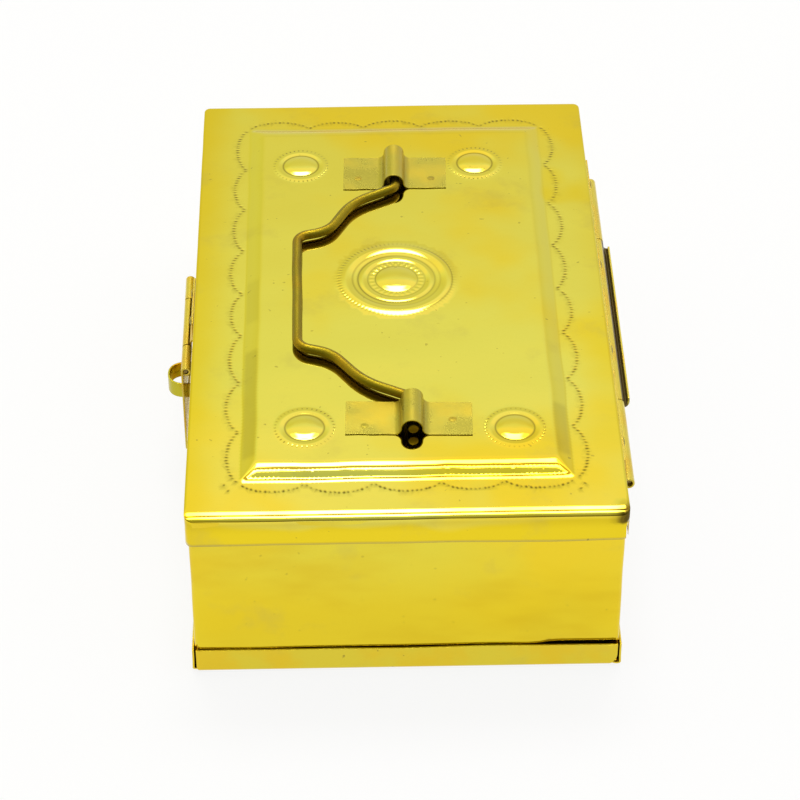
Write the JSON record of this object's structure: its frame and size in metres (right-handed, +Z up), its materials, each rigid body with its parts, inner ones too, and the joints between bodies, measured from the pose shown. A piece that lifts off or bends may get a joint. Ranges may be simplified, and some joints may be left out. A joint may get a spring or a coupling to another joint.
{
  "type": "donation box",
  "caption": "Rectangular sheet-brass box with a hinged lid, raised chased field, wire drop handle, and a hasp over a staple for a padlock.",
  "frame": {"origin": "centre of the base's flat underside", "axes": "+Z up through the lid, +X towards the hinge, +Y along the box's length; the hasp is on -X"},
  "size_m": [0.171, 0.25, 0.0826],
  "materials": {
    "sheet": "bright polished",
    "body": "polished",
    "tray": "polished, a little worn",
    "strip": "satin, brushed",
    "wire": "dull, darkened by handling",
    "pin": "dull",
    "rivet": "satin"
  },
  "bodies": {
    "body": {"base_tray": "tray", "body_walls": "body", "staple": "strip", "hinge_body_leaf": "strip", "hinge_pin": "pin", "hinge_body_rivet_1": "rivet", "hinge_body_rivet_2": "rivet", "hinge_body_rivet_3": "rivet", "hinge_body_rivet_4": "rivet"},
    "lid": {"lid": "sheet", "hinge_lid_leaf": "strip", "hinge_lid_rivet_1": "rivet", "hinge_lid_rivet_2": "rivet", "hinge_lid_rivet_3": "rivet", "hinge_lid_rivet_4": "rivet", "hasp_lid_leaf": "strip", "hasp_lid_rivet_1": "rivet", "hasp_lid_rivet_2": "rivet", "hasp_pin": "pin", "handle_strap_near": "strip", "handle_strap_far": "strip", "strap_rivet_near_left": "rivet", "strap_rivet_near_right": "rivet", "strap_rivet_far_left": "rivet", "strap_rivet_far_right": "rivet"},
    "hasp": {"hasp_plate": "strip"},
    "handle": {"handle": "wire"}
  },
  "joints": [
    {"name": "lid_hinge", "type": "hinge", "parent": "body", "child": "lid", "pos_m": [0.07845, 0, 0.058], "axis": [0, 1, 0], "range_deg": [0, 104]},
    {"name": "hasp_pivot", "type": "hinge", "parent": "lid", "child": "hasp", "pos_m": [-0.0791, 0, 0.058], "axis": [0, 1, 0], "range_deg": [0, 170]},
    {"name": "handle_pivot", "type": "hinge", "parent": "lid", "child": "handle", "pos_m": [0.00135, 0, 0.07765], "axis": [-0.0201, 0.9998, 0], "range_deg": [0, 180]}
  ]
}
